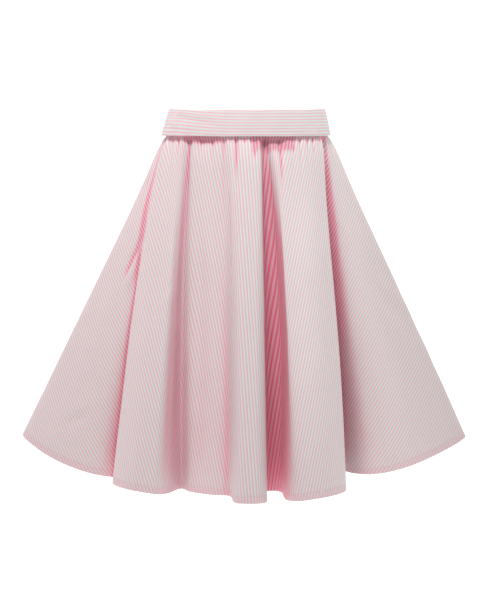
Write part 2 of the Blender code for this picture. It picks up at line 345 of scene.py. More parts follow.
# Painted colour and painted shade along the front's long folds, by distance down: deeper or, below 0, paler
# colour, and darker cloth or, below 0, a painted highlight.
LEFT_OVERLAP = (
    PaintedEdgeShade(0, -50.5, 0.004, 0.4, 0),
    PaintedEdgeShade(0.053, -51.8, 0.005, 0.7, 0),
    PaintedEdgeShade(0.1, -52.7, 0.0065, 0.8, 0.04),
    PaintedEdgeShade(0.139, -52, 0.008, 0.85, 0.06),
    PaintedEdgeShade(0.188, -50.4, 0.0075, 0.85, 0.06),
    PaintedEdgeShade(0.217, -49.8, 0.006, 0.8, 0.06),
    PaintedEdgeShade(0.275, -48.5, 0.003, 0.6, 0.1),
    PaintedEdgeShade(0.383, -48, 0.0028, 0.45, 0.12),
    PaintedEdgeShade(0.46, -47.3, 0.0028, 0.42, 0.12),
    PaintedEdgeShade(0.623, -46.6, 0.003, 0.38, 0.12),
)
RIGHT_OVERLAP = (
    PaintedEdgeShade(0, 40.1, 0.008, 0.6, 0),
    PaintedEdgeShade(0.1, 40.4, 0.012, 0.75, 0.04),
    PaintedEdgeShade(0.139, 40.2, 0.016, 0.65, 0.1),
    PaintedEdgeShade(0.217, 39.4, 0.02, 0.4, 0.2),
    PaintedEdgeShade(0.3, 39, 0.023, 0.15, 0.26),
    PaintedEdgeShade(0.4, 39, 0.028, -0.15, 0.32),
    PaintedEdgeShade(0.623, 38.6, 0.033, -0.35, 0.36),
)
CENTRE_RECESS = (
    PaintedEdgeShade(0, 8, 0.012, 0.1, 0.12),
    PaintedEdgeShade(0.12, 8, 0.02, 0.6, 0.16),
    PaintedEdgeShade(0.3, 8, 0.03, 0, 0.07),
    PaintedEdgeShade(0.623, 8, 0.04, -0.12, 0),
)
# Painted light: paler colour high on the recess.
RECESS_LIGHT = (
    PaintedEdgeShade(0, 7.6, 0.006, -0.3, 0),
    PaintedEdgeShade(0.07, 8.8, 0.009, -0.46, 0),
    PaintedEdgeShade(0.13, 11.2, 0.01, -0.26, 0),
    PaintedEdgeShade(0.18, 13.6, 0.01, -0.05, 0),
    PaintedEdgeShade(0.25, 16, 0.01, 0, 0),
    PaintedEdgeShade(0.623, 16, 0.01, 0, 0),
)
SECOND_FLANK = (
    PaintedEdgeShade(0, -22, 0.006, 0.1, 0.05),
    PaintedEdgeShade(0.1, -22.6, 0.012, 0.14, 0.08),
    PaintedEdgeShade(0.25, -22.8, 0.016, 0.02, 0.1),
    PaintedEdgeShade(0.623, -23.4, 0.022, -0.06, 0.07),
)
SECOND_VALLEY = (
    PaintedEdgeShade(0, -20.4, 0.005, 0, 0.02),
    PaintedEdgeShade(0.14, -20.4, 0.008, -0.2, 0.08),
    PaintedEdgeShade(0.25, -20.3, 0.011, -0.52, 0.1),
    PaintedEdgeShade(0.623, -20.2, 0.016, -0.58, 0.09),
)
# Painted highlight: the negative shade lightens this face.
THIRD_FACE = (
    PaintedEdgeShade(0, -16.2, 0.012, 0, 0),
    PaintedEdgeShade(0.16, -16.2, 0.024, -0.06, -0.08),
    PaintedEdgeShade(0.4, -16.4, 0.03, -0.1, -0.12),
    PaintedEdgeShade(0.623, -16.6, 0.034, -0.1, -0.06),
)
# Painted highlight: the negative shade lightens this face.
FIFTH_FACE = (
    PaintedEdgeShade(0, 18, 0.02, 0, 0),
    PaintedEdgeShade(0.16, 17.8, 0.022, 0.08, -0.09),
    PaintedEdgeShade(0.4, 17.4, 0.028, 0.06, -0.09),
    PaintedEdgeShade(0.623, 17.2, 0.03, 0.04, -0.02),
)
# Painted highlight: the negative shade lightens this face.
RIGHT_FACE = (
    PaintedEdgeShade(0, 44, 0.03, 0, 0),
    PaintedEdgeShade(0.25, 45, 0.03, 0, -0.05),
    PaintedEdgeShade(0.623, 46, 0.05, 0, -0.05),
)
# Painted shade: darker and less pink towards the right tip.
RIGHT_TIP = (
    PaintedEdgeShade(0, 56, 0.03, 0, 0),
    PaintedEdgeShade(0.25, 57, 0.04, -0.1, 0.06),
    PaintedEdgeShade(0.623, 58, 0.07, -0.2, 0.1),
)
THIRD_EDGE = (
    PaintedEdgeShade(0, -12, 0.01, 0, 0),
    PaintedEdgeShade(0.28, -12, 0.02, -0.05, 0),
    PaintedEdgeShade(0.623, -12, 0.03, -0.18, 0),
)
PAINTED_LONG_FOLDS = (
    LEFT_OVERLAP,
    RIGHT_OVERLAP,
    CENTRE_RECESS,
    RECESS_LIGHT,
    SECOND_FLANK,
    SECOND_VALLEY,
    THIRD_EDGE,
    THIRD_FACE,
    FIFTH_FACE,
    RIGHT_FACE,
    RIGHT_TIP,
)
BACK_CREASES = 16
FINE_CREASES = 46

BAND_MARKS = (
    BandMark(-64, 0.01, -22, 0.026, 0.0035, -0.0007),
    BandMark(-72, 0.022, -34, 0.035, 0.004, 0.0006),
    BandMark(-50, 0.006, -18, 0.014, 0.003, 0.0004),
    BandMark(40, 0.03, 70, 0.02, 0.005, -0.0004),
)


def smooth(value: np.ndarray, low: float, high: float) -> np.ndarray:
    """A soft step from 0 at low to 1 at high."""
    share = np.clip((value - low) / (high - low), 0.0, 1.0)
    return share * share * (3.0 - 2.0 * share)


def closed_curve(
    knots: np.ndarray, values: np.ndarray, period: float, turn: float, at: np.ndarray
) -> np.ndarray:
    """Reads a smooth closed curve.

    Args:
        knots: Where the values lie, starting at 0.
        values: One number for each knot.
        period: The curve's whole length.
        turn: What one whole turn adds to the value, 0 for a position.
        at: Where to read it.

    Returns:
        The values there.
    """
    count = len(knots)
    wrapped = np.concatenate([knots[-2:] - period, knots, knots[:3] + period])
    level = np.concatenate([values[-2:] - turn, values, values[:3] + turn])
    step = np.diff(wrapped)
    slope = np.diff(level) / step
    if turn:
        both = slope[:-1] * slope[1:]
        tangent = np.where(both > 0, 2 * both / (slope[:-1] + slope[1:]), 0)
    else:
        tangent = (slope[:-1] * step[1:] + slope[1:] * step[:-1]) / (step[:-1] + step[1:])
    place = np.mod(at, period)
    span = np.clip(np.searchsorted(knots, place, side="right") - 1, 0, count - 1)
    left = span + 2
    width = step[left]
    x = (place - wrapped[left]) / width
    value = (
        (1 + 2 * x) * (1 - x) ** 2 * level[left]
        + x * (1 - x) ** 2 * width * tangent[left - 1]
        + x**2 * (3 - 2 * x) * level[left + 1]
        + x**2 * (x - 1) * width * tangent[left]
    )
    return value + turn * np.floor(at / period)


def turn_from(degrees: np.ndarray, azimuth: float) -> np.ndarray:
    """How far each azimuth lies from a given one, in degrees, the short way round."""
    return np.mod(degrees - azimuth + 180, 360) - 180


def seam_plan(azimuth: np.ndarray) -> np.ndarray:
    """Where the gathered seam under the band lies in plan."""
    return np.column_stack([SEAM_HALF_WIDTH * np.sin(azimuth), -SEAM_HALF_DEPTH * np.cos(azimuth)])


def waist_dip(azimuth: np.ndarray) -> np.ndarray:
    """How far the waist lies below its front, which grows towards the centre back."""
    return BACK_DIP * np.minimum(np.cos(azimuth), 0.0) ** 2


def back_gathers() -> tuple[Gather, ...]:
    """The tucks of the back, which fall at a slightly uneven pitch."""
    found = []
    for number in range(BACK_GATHERS):
        azimuth = 94 + (number + 0.5) * 172 / BACK_GATHERS
        azimuth += 1.6 * math.sin(2.3 * number)
        depth = 0.0034 + 0.0012 * math.sin(1.7 * number + 0.6)
        reach = 0.056 + 0.020 * math.sin(2.9 * number)
        found.append(Gather(azimuth, BACK_GATHER_HALF_ANGLE, BACK_GATHER_HALF_ANGLE, depth, reach))
    return tuple(found)


def line_profile(
    x: np.ndarray, y: np.ndarray, start: tuple[float, float], end: tuple[float, float], half: float
) -> np.ndarray:
    """How strongly a soft line between two points is felt at each place, 0 to 1."""
    along_x = end[0] - start[0]
    along_y = end[1] - start[1]
    length = math.hypot(along_x, along_y)
    share = ((x - start[0]) * along_x + (y - start[1]) * along_y) / length**2
    held = np.clip(share, 0.0, 1.0)
    away = np.hypot(x - start[0] - held * along_x, y - start[1] - held * along_y)
    taper = 0.35 + 0.65 * np.sin(math.pi * held)
    return taper * np.exp(-((away / half) ** 2))


@dataclass
class HemPlan:
    """The plan of the hem, with the waist azimuth that each of its points hangs from."""

    folds: tuple[Fold, ...] = FLUTES
    across: np.ndarray = field(init=False)
    forward: np.ndarray = field(init=False)
    knots: np.ndarray = field(init=False)
    period: float = field(init=False)
    arc_at: np.ndarray = field(init=False)
    arc: np.ndarray = field(init=False)

    def __post_init__(self) -> None:
        """Works out the knots and the hem's length along them."""
        self.across, self.forward = np.array([(fold.across, fold.forward) for fold in self.folds]).T
        across_step = np.diff(self.across, append=self.across[0])
        chord = np.hypot(across_step, np.diff(self.forward, append=self.forward[0]))
        self.period = float(np.sqrt(chord).sum())
        self.knots = np.concatenate([[0.0], np.cumsum(np.sqrt(chord))[:-1]])
        self.arc_at = np.linspace(-self.period, 2 * self.period, 18001)
        x, y = self.plan(self.arc_at)
        self.arc = np.concatenate([[0.0], np.cumsum(np.hypot(np.diff(x), np.diff(y)))])

    def plan(self, at: np.ndarray) -> tuple[np.ndarray, np.ndarray]:
        """Positions across and forward of the hem, in metres."""
        across = closed_curve(self.knots, self.across, self.period, 0.0, at)
        return across, closed_curve(self.knots, self.forward, self.period, 0.0, at)

    def waist(self, at: np.ndarray) -> np.ndarray:
        """Azimuth at the waist, in radians, 0 at the centre front."""
        azimuth = np.array([fold.azimuth for fold in self.folds], float)
        return np.radians(closed_curve(self.knots, azimuth, self.period, 360.0, at))

    def place(self, name: str) -> float:
        """Where a named fold lies along the curve."""
        return float(self.knots[[fold.name for fold in self.folds].index(name)])

    def hem_length(self, at: np.ndarray, centre: float) -> np.ndarray:
        """The hem's length from `centre`, in metres."""
        return np.interp(at, self.arc_at, self.arc) - np.interp(centre, self.arc_at, self.arc)

    def columns(self, start: float, end: float, count: int) -> np.ndarray:
        """Places along the curve, even in hem and seam length together."""
        dense = np.linspace(start, end, 6001)
        across, forward = self.plan(dense)
        seam = SEAM_HALF_WIDTH * self.waist(dense)
        steps = np.hypot(np.diff(across), np.diff(forward)) + SEAM_WEIGHT * np.abs(np.diff(seam))
        travelled = np.concatenate([[0.0], np.cumsum(steps)])
        return np.interp(np.linspace(0, travelled[-1], count + 1), travelled, dense)


class Socket:
    """A shader value that adds Math nodes when it is used in an expression."""

    def __init__(self, tree: "Tree", output: bpy.types.NodeSocket) -> None:
        """Wraps an output of a node of the tree."""
        self.tree = tree
        self.output = output

    def math(self, operation: str, first: "Socket | float", second: "Socket | float" = 0.0) -> "Socket":
        """Adds one Math node and returns its value."""
        return self.tree.node("ShaderNodeMath", {"operation": operation}, {0: first, 1: second})

    def __add__(self, other: "Socket | float") -> "Socket":
        """This plus other, in either order."""
        return self.math("ADD", self, other)

    __radd__ = __add__

    def __sub__(self, other: "Socket | float") -> "Socket":
        """This minus other."""
        return self.math("SUBTRACT", self, other)

    def __rsub__(self, other: float) -> "Socket":
        """Other minus this."""
        return self.math("SUBTRACT", other, self)

    def __mul__(self, other: "Socket | float") -> "Socket":
        """This times other, in either order."""
        return self.math("MULTIPLY", self, other)

    __rmul__ = __mul__

    def __truediv__(self, other: "Socket | float") -> "Socket":
        """This divided by other."""
        return self.math("DIVIDE", self, other)

    def sine(self) -> "Socket":
        """The sine of this."""
        return self.math("SINE", self)

    def triangle(self) -> "Socket":
        """0 at whole numbers, rising to 1 half way between them."""
        return self.math("PINGPONG", self, 0.5) * 2.0

    def step(self, low: float, high: float) -> "Socket":
        """A soft step from 0 at low to 1 at high."""
        return self.tree.node(
            "ShaderNodeMapRange",
            {"interpolation_type": "SMOOTHSTEP"},
            {"Value": self, "From Min": low, "From Max": high},
        )


class Tree:
    """The nodes of a material or a world, and those that are added to them."""

    def __init__(self, owner: bpy.types.Material | bpy.types.World) -> None:
        """Opens the nodes that a new material or world comes with."""
        owner.use_nodes = True
        self.owner = owner
        self.nodes = owner.node_tree.nodes
        self.links = owner.node_tree.links
        self.surface = self.nodes.get("Principled BSDF") or self.nodes["Background"]

    def feed(self, target: bpy.types.NodeSocket, value: object) -> None:
        """Links a Socket to an input, or sets the input to a plain value."""
        if isinstance(value, Socket):
            self.links.new(value.output, target)
        else:
            target.default_value = value

    def node(
        self, kind: str, settings: dict[str, object], inputs: dict[object, object], output: object = 0
    ) -> Socket:
        """Adds one node.

        Args:
            kind: The node's type.
            settings: Its properties, which are set first.
            inputs: A value or a Socket for each input, by name or number.
            output: The name or number of the output to return.

        Returns:
            That output.
        """
        made = self.nodes.new(kind)
        for name, value in settings.items():
            setattr(made, name, value)
        for name, value in inputs.items():
            self.feed(made.inputs[name], value)
        return Socket(self, made.outputs[output])

    def kept(self, name: str, output: str) -> Socket:
        """What the mesh keeps for each point under a name: its Vector, or its one number as Fac."""
        return self.node("ShaderNodeAttribute", {"attribute_name": name}, {}, output)

    def part(self, vector: Socket, number: int) -> Socket:
        """One of the three numbers of a vector."""
        return self.node("ShaderNodeSeparateXYZ", {}, {0: vector}, number)

    def grey(self, level: Socket) -> Socket:
        """A vector that has the same level three times."""
        return self.node("ShaderNodeCombineXYZ", {}, {0: level, 1: level, 2: level})

    def mix(self, share: "Socket | float", first: object, second: object) -> Socket:
        """A colour between first and second."""
        made = self.nodes.new("ShaderNodeMix")
        made.data_type = "RGBA"
        for slot, value in (("Factor", share), (6, first), (7, second)):
            self.feed(made.inputs[slot], value)
        return Socket(self, made.outputs[2])

    def noise(self, vector: Socket, scale: float, detail: float = 2.0) -> Socket:
        """Smooth noise, about 0 to 1, at so many waves a metre."""
        return self.node("ShaderNodeTexNoise", {}, {"Vector": vector, "Scale": scale, "Detail": detail})

    def bump(self, height: Socket, distance: float, strength: float, normal: Socket | None = None) -> Socket:
        """A Bump node on a height."""
        inputs: dict[object, object] = {"Height": height, "Distance": distance, "Strength": strength}
        if normal is not None:
            inputs["Normal"] = normal
        return self.node("ShaderNodeBump", {}, inputs, "Normal")

    def constants(self, values: dict[str, object]) -> None:
        """Sets what is the same all over the surface on the shader itself."""
        for name, value in values.items():
            self.surface.inputs[name].default_value = value


Colour = tuple[float, float, float]


@dataclass(frozen=True)
class StripedCotton:
    """Plain-woven cotton with fine pink and white warp stripes, deeper in colour in its folds as painted
    shade.
    """

    name: str
    pink: Colour = (0.900, 0.545, 0.625)
    white: Colour = (0.780, 0.840, 0.785)
    # Painted fold shade: the darker, more saturated pink and white that the cloth takes deep in its folds,
    # standing in for shade and light bounced between them.
    fold_shade_pink: Colour = (0.960, 0.240, 0.370)
    fold_shade_white: Colour = (0.880, 0.580, 0.640)
    # Fold values where the painted fold shade starts and where it is full.
    open: float = 0.20
    closed: float = 0.85
    pitch: float = STRIPE_PITCH
    edge: float = 0.10
    hem_fold: float = 0.16
    roughness: float = 0.86
    sheen: float = 0.12

    def stripe(self, tree: Tree, across: Socket, wander: Socket) -> Socket:
        """1 on the pink stripes and 0 on the white ones."""
        place = across / self.pitch + (wander - 0.5) * 0.10
        return place.triangle().step(0.5 - self.edge, 0.5 + self.edge)

    def material(self) -> bpy.types.Material:
        """Builds the finish."""
        tree = Tree(bpy.data.materials.new(self.name))
        cut = tree.kept("cut", "Vector")
        double = tree.kept("doubled", "Fac")
        # How far the painted fold shade reaches here, plus a fixed share where the hem is doubled.
        fold = tree.kept("fold", "Fac").step(self.open, self.closed) + double * self.hem_fold
        across = tree.part(cut, 0)
        down = tree.part(cut, 1)
        across_under = tree.part(tree.kept("under", "Vector"), 0)

        wander = tree.noise(cut, 18.0)
        face = self.stripe(tree, across, wander)
        behind = self.stripe(tree, across_under, wander)
        pinkness = face * (1 - double * 0.22) + behind * double * 0.34
        slub = tree.noise(cut, 900.0, 1.0)
        cloud = tree.noise(cut, 7.0, 3.0)
        warp = (across * (2 * math.pi / WEAVE_PITCH)).sine()
        weft = (down * (2 * math.pi / WEAVE_PITCH)).sine()
        weave = warp * weft
        colour = tree.mix(pinkness, (*self.white, 1.0), (*self.pink, 1.0))
        # Painted fold shade: the colour moves towards the shaded colours as the fold value grows.
        deep = tree.mix(pinkness, (*self.fold_shade_white, 1.0), (*self.fold_shade_pink, 1.0))
        colour = tree.mix(fold, colour, deep)
        # Random tone of slubs, cloud and weave, times one less the painted shade kept on the mesh; below 0
        # that shade is a painted highlight.
        shade = (0.955 + slub * 0.05 + cloud * 0.04 + weave * 0.012) * (1 - tree.kept("shade", "Fac"))
        inputs = {0: colour, 1: tree.grey(shade)}
        colour = tree.node("ShaderNodeVectorMath", {"operation": "MULTIPLY"}, inputs)
        fine = tree.bump(weave * 0.5 + slub * 0.8, 0.00008, 0.5)
        soft = tree.bump(tree.noise(cut, 60.0, 3.0), 0.0006, 0.35, fine)
        tree.feed(tree.surface.inputs["Base Color"], colour)
        tree.feed(tree.surface.inputs["Roughness"], self.roughness - 0.06 + slub * 0.10)
        tree.feed(tree.surface.inputs["Normal"], soft)
        tree.constants({"Metallic": 0.0, "Specular IOR Level": 0.25})
        tree.constants({"Sheen Weight": self.sheen, "Sheen Roughness": 0.5})
        return tree.owner


@dataclass(frozen=True)
class Thread:
    """Spun sewing thread with a fine twist."""

    name: str
    colour: Colour = (0.86, 0.70, 0.71)
    twist: float = 0.0004

    def material(self) -> bpy.types.Material:
        """Builds the finish."""
        tree = Tree(bpy.data.materials.new(self.name))
        place = tree.node("ShaderNodeTexCoord", {}, {}, "Object")
        ply = ((tree.part(place, 0) + tree.part(place, 2)) * (2 * math.pi / self.twist)).sine()
        dark = tuple(0.82 * part for part in self.colour)
        share = ply * 0.25 + 0.5 + (tree.noise(place, 120.0) - 0.5) * 0.4
        tree.feed(tree.surface.inputs["Base Color"], tree.mix(share, (*dark, 1.0), (*self.colour, 1.0)))
        tree.feed(tree.surface.inputs["Roughness"], 0.60 + ply * 0.08)
        tree.feed(tree.surface.inputs["Normal"], tree.bump(ply, 0.00005, 0.5))
        tree.constants({"Metallic": 0.0, "Sheen Weight": 0.1})
        return tree.owner


def grid_normals(points: np.ndarray) -> np.ndarray:
    """Unit normals of a grid of points, on the outer side."""
    down = np.gradient(points, axis=0)
    along = np.gradient(points, axis=1)
    normal = np.cross(down, along)
    length = np.linalg.norm(normal, axis=2, keepdims=True)
    return normal / np.maximum(length, 1e-12)


def mesh_of(name: str, points: np.ndarray, quads: np.ndarray) -> bpy.types.Mesh:
    """A mesh from arrays of points and quads."""
    mesh = bpy.data.meshes.new(name)
    mesh.vertices.add(len(points))
    mesh.vertices.foreach_set("co", np.ascontiguousarray(points, np.float32).ravel())
    mesh.loops.add(quads.size)
    mesh.loops.foreach_set("vertex_index", np.ascontiguousarray(quads, np.int32).ravel())
    mesh.polygons.add(len(quads))
    mesh.polygons.foreach_set("loop_start", np.arange(0, quads.size, 4, dtype=np.int32))
    mesh.update(calc_edges=True)
    mesh.validate()
    return mesh


def grid_quads(rows: int, columns: int, first: int, flip: bool) -> np.ndarray:
    """The faces of a grid whose points are numbered row by row from `first`."""
    row, column = np.meshgrid(np.arange(rows - 1), np.arange(columns - 1), indexing="ij")
    corner = first + row * columns + column
    quads = np.stack([corner, corner + columns, corner + columns + 1, corner + 1], axis=-1).reshape(-1, 4)
    return quads[:, ::-1] if flip else quads


def shell_mesh(name: str, outer: np.ndarray, inner: np.ndarray) -> bpy.types.Mesh:
    """A closed thin shell between an outer and an inner grid of the same size."""
    rows, columns, _ = outer.shape
    count = rows * columns
    numbers = np.arange(count).reshape(rows, columns)
    rim = np.concatenate([numbers[0, :], numbers[1:, -1], numbers[-1, -2::-1], numbers[-2:0:-1, 0]])
    after = np.roll(rim, -1)
    edge = np.stack([rim, after, after + count, rim + count], axis=-1)
    faces = (grid_quads(rows, columns, 0, False), grid_quads(rows, columns, count, True), edge)
    return mesh_of(name, np.concatenate([outer.reshape(-1, 3), inner.reshape(-1, 3)]), np.concatenate(faces))


def add_values(mesh: bpy.types.Mesh, name: str, values: np.ndarray) -> None:
    """Keeps a number or a vector for each point of the mesh, for its finish to read."""
    vectors = values.ndim == 2
    made = mesh.attributes.new(name, "FLOAT_VECTOR" if vectors else "FLOAT", "POINT")
    made.data.foreach_set("vector" if vectors else "value", np.ascontiguousarray(values, np.float32).ravel())


def spread_rays(count: int) -> np.ndarray:
    """Evenly spread unit directions."""
    number = np.arange(count) + 0.5
    height = 1 - 2 * number / count
    turn = number * math.pi * (3 - math.sqrt(5))
    reach = np.sqrt(1 - height**2)
    return np.column_stack([reach * np.cos(turn), reach * np.sin(turn), height])


def close_holes(mesh: bpy.types.Mesh, sides: int) -> None:
    """Fills the open rings of a mesh, up to so many sides, or all of them for 0."""
    work = bmesh.new()
    work.from_mesh(mesh)
    open_edges = [edge for edge in work.edges if len(edge.link_faces) == 1]
    bmesh.ops.holes_fill(work, edges=open_edges, sides=sides)
    bmesh.ops.recalc_face_normals(work, faces=work.faces)
    work.to_mesh(mesh)
    work.free()


def add_object(
    name: str, mesh: bpy.types.Mesh, material: bpy.types.Material, sharp: float = 60.0
) -> bpy.types.Object:
    """Puts a mesh in the scene with one finish."""
    mesh.materials.append(material)
    mesh.shade_smooth()
    mesh.set_sharp_from_angle(angle=math.radians(sharp))
    made = bpy.data.objects.new(name, mesh)
    bpy.context.scene.collection.objects.link(made)
    return made


@dataclass
class SkirtPanel:
    """One panel of the skirt, from side seam to side seam, gathered at the top."""

    side: Side
    plan: HemPlan
    first: str
    last: str
    columns: int
    rows_top: int
    rows_body: int
    troughs: tuple[Trough, ...] = ()
    creases: tuple[Crease, ...] = ()
    seed: int = 3
    at: np.ndarray = field(init=False)
    down: np.ndarray = field(init=False)
    outer: np.ndarray = field(init=False)
    normal: np.ndarray = field(init=False)

    def __post_init__(self) -> None:
        """Lays out the rows and columns and shapes the cloth."""
        start = self.plan.place(self.first)
        end = self.plan.place(self.last)
        if start > end:
            start -= self.plan.period
        self.at = self.plan.columns(start, end, self.columns)
        hem_top = CLOTH_LENGTH - HEM_DEPTH
        self.down = np.concatenate(
            [
                [-TUCK, -0.002],
                np.linspace(0.0, 0.10, self.rows_top, endpoint=False),
                np.linspace(0.10, hem_top - 0.004, self.rows_body, endpoint=False),
                hem_top + np.array([-0.004, -0.0015, 0.0, 0.0015, 0.004, 0.008, 0.0108, HEM_DEPTH]),
            ]
        )
        self.shape()

    def grain_centre(self) -> float:
        """Where the straight grain runs down the panel."""
        grain = math.radians(FRONT_GRAIN if self.side is Side.FRONT else BACK_GRAIN)
        return float(np.interp(grain, self.plan.waist(self.at), self.at))

    def angles(self) -> np.ndarray:
        """Each column's angle on the flat cut, in radians from the straight grain."""
        return self.plan.hem_length(self.at, self.grain_centre()) / CUT_HEM_RADIUS

    def on_the_cut(self, down: np.ndarray) -> np.ndarray:
        """Where each point lies on the unrolled cloth, along and across its stripes.

        Args:
            down: The distance below the band for each row.

        Returns:
            A grid of (across, along, 0) places.
        """
        azimuth = self.plan.waist(self.at)
        top = seam_plan(azimuth)
        seam = np.concatenate([[0.0], np.cumsum(np.linalg.norm(np.diff(top, axis=0), axis=1))])
        centre = self.grain_centre()
        seam -= np.interp(centre, self.at, seam)
        turn = FLARE * (self.plan.hem_length(self.at, centre) - seam) / CLOTH_LENGTH
        step = np.diff(seam, prepend=seam[0])
        across = np.cumsum(step * np.cos(turn))
        along = -np.cumsum(step * np.sin(turn))
        across -= np.interp(centre, self.at, across)
        along -= np.interp(centre, self.at, along)
        x = across[None, :] + down[:, None] * np.sin(turn)[None, :]
        y = along[None, :] + down[:, None] * np.cos(turn)[None, :]
        return np.stack([x, y, np.zeros_like(x)], axis=-1)

    def gather_offset(self) -> np.ndarray:
        """How far the gathering moves each point along the waist's normal."""
        degrees = np.degrees(self.plan.waist(self.at))[None, :]
        down = self.down[:, None]
        below = np.maximum(down, 0.0)
        offset = np.zeros((len(self.down), len(self.at)))
        for gather in FRONT_GATHERS + back_gathers():
            away = turn_from(degrees, gather.azimuth)
            half = np.where(away < 0, gather.left_angle, gather.right_angle)
            fade = np.exp(-((below / gather.reach) ** 1.5))
            offset -= gather.depth * fade * np.exp(-(np.abs(away / half) ** 1.6))
        pucker = np.sin(np.radians(degrees) * 97 + 2.0 * np.sin(np.radians(degrees) * 11))
        offset += GATHER_PUCKER * pucker * np.exp(-below / GATHER_PUCKER_FADE)
        puff = PUFF * (below / PUFF_DEPTH) * np.exp(1 - below / PUFF_DEPTH)
        return offset * np.minimum(below / GATHER_START, 1.0) + puff

    def sway_across(self) -> np.ndarray:
        """How far the folds lean sideways at each point."""
        degrees = np.degrees(self.plan.waist(self.at))[None, :]
        share = np.clip(self.down / CLOTH_LENGTH, 0.0, 1.0)[:, None]
        across = np.zeros((len(self.down), len(self.at)))
        for sway in SWAYS:
            away = turn_from(degrees, sway.azimuth)
            level = np.sin(math.pi * share ** (math.log(0.5) / math.log(sway.peak)))
            across += sway.across * level * np.exp(-((away / sway.half_angle) ** 2))
        return across

    def straight_cloth(self) -> np.ndarray:
        """The cloth as straight lines from the seam to the hem, with its gathers."""
        across, forward = self.plan.plan(self.at)
        azimuth = self.plan.waist(self.at)
        top = seam_plan(azimuth)
        foot = np.column_stack([across, -forward])
        spread = foot - top
        drop = np.sqrt(CLOTH_LENGTH**2 - (spread**2).sum(axis=1))
        share = np.maximum(self.down, 0.0)[:, None] / CLOTH_LENGTH
        out = np.column_stack([np.sin(azimuth) / SEAM_HALF_WIDTH, -np.cos(azimuth) / SEAM_HALF_DEPTH])
        out /= np.linalg.norm(out, axis=1)[:, None]
        offset = self.gather_offset()
        flat = top[None] + spread[None] * share[:, :, None] + out[None] * offset[:, :, None]
        flat[:, :, 0] += self.sway_across()
        height = -BAND_HEIGHT - waist_dip(azimuth)[None] - drop[None] * share
        height -= np.minimum(self.down, 0.0)[:, None]
        return np.concatenate([flat, height[:, :, None]], axis=2)

    def fine_creases(self) -> tuple[Crease, ...]:
        """Slight uneven drag lines all over the panel, and deeper ones where none is listed."""
        source = np.random.default_rng(self.seed)
        low, high = np.degrees(self.angles()[[0, -1]])
        found = []
        count = FINE_CREASES + (BACK_CREASES if self.side is Side.BACK else 0)
        for number in range(count):
            deep = number >= FINE_CREASES
            angle = source.uniform(low + 2, high - 2)
            down = source.uniform(0.05, 0.50)
            run = source.uniform(0.05, 0.16) * (1.4 if deep else 1.0)
            lean = source.normal(0.0, 4.0)
            half = source.uniform(0.005, 0.012) * (1.5 if deep else 1.0)
            height = source.choice([-1.0, 1.0]) * source.uniform(0.0003, 0.0009) * (2.6 if deep else 1.0)
            found.append(Crease(angle, down, angle + lean, min(down + run, 0.60), half, height))
        return tuple(found)

    def relief(self) -> np.ndarray:
        """How far the cloth stands out along its own normal, beyond its straight lines."""
        angle = self.angles()[None, :]
        degrees = np.degrees(angle)
        down = self.down[:, None]
        radius = CUT_INNER_RADIUS + down
        x = radius * np.sin(angle)
        y = radius * np.cos(angle)
        offset = np.zeros_like(x)
        for trough in self.troughs:
            window = np.sin(math.pi * np.clip((down - trough.start) / (trough.end - trough.start), 0, 1))
            offset += trough.height * window * np.exp(-(((degrees - trough.angle) / trough.half_angle) ** 2))
        for crease in self.creases + self.fine_creases():
            ends = []
            for turn, fall in ((crease.angle, crease.down), (crease.end_angle, crease.end_down)):
                reach = CUT_INNER_RADIUS + fall
                ends.append((reach * math.sin(math.radians(turn)), reach * math.cos(math.radians(turn))))
            offset += crease.height * line_profile(x, y, ends[0], ends[1], crease.half_width)
        edge = CLOTH_LENGTH - down
        arc = CUT_HEM_RADIUS * angle
        pucker = np.sin(arc * 520 + 2.2 * np.sin(arc * 61)) * (0.6 + 0.4 * np.sin(arc * 23))
        offset += HEM_PUCKER * pucker * smooth(-edge, -0.030, -0.010)
        offset -= STITCH_DENT * np.exp(-(((edge - HEM_DEPTH + STITCH_INSET) / 0.0012) ** 2))
        seam = np.minimum(np.abs(angle - angle[0, 0]), np.abs(angle - angle[0, -1])) * radius
        offset -= SEAM_DENT * np.exp(-((seam / SEAM_DENT_HALF_WIDTH) ** 2)) * smooth(down, 0.0, 0.01)
        return offset * smooth(down, 0.0, 0.03)

    def shape(self) -> None:
        """Works out the outer face of the cloth and its normals."""
        points = self.straight_cloth()
        points += grid_normals(points) * self.relief()[:, :, None]
        for edge, inner in ((0, 1), (-1, -2)):
            inward = points[:, inner] - points[:, edge]
            inward /= np.linalg.norm(inward, axis=1)[:, None]
            points[:, edge] += inward * SEAM_GAP / 2
        self.outer = points
        self.normal = grid_normals(points)

    def depth(self, surround: BVHTree, side: float) -> np.ndarray:
        """How deep in the folds each point lies, 0 in the open and 1 enclosed, which sets its painted fold
        shade.

        Args:
            surround: All the cloth of the skirt.
            side: 1 for the outer face of the cloth and -1 for the inner one.

        Returns:
            One number for each point.
        """
        rows = np.unique(np.linspace(0, len(self.down) - 1, DEPTH_ROWS).astype(int))
        columns = np.unique(np.linspace(0, len(self.at) - 1, DEPTH_COLUMNS).astype(int))
        found = np.zeros((len(rows), len(columns)))
        rays = spread_rays(DEPTH_RAYS)
        for i, row in enumerate(rows):
            for j, column in enumerate(columns):
                normal = side * self.normal[row, column]
                start = Vector(self.outer[row, column] + normal * 0.002)
                ways = rays + normal
                ways /= np.linalg.norm(ways, axis=1)[:, None]
                hits = sum(surround.ray_cast(start, Vector(way), DEPTH_REACH)[0] is not None for way in ways)
                found[i, j] = hits / DEPTH_RAYS
        across = np.stack([np.interp(np.arange(len(self.at)), columns, line) for line in found])
        full = np.stack([np.interp(np.arange(len(self.down)), rows, line) for line in across.T], axis=-1)
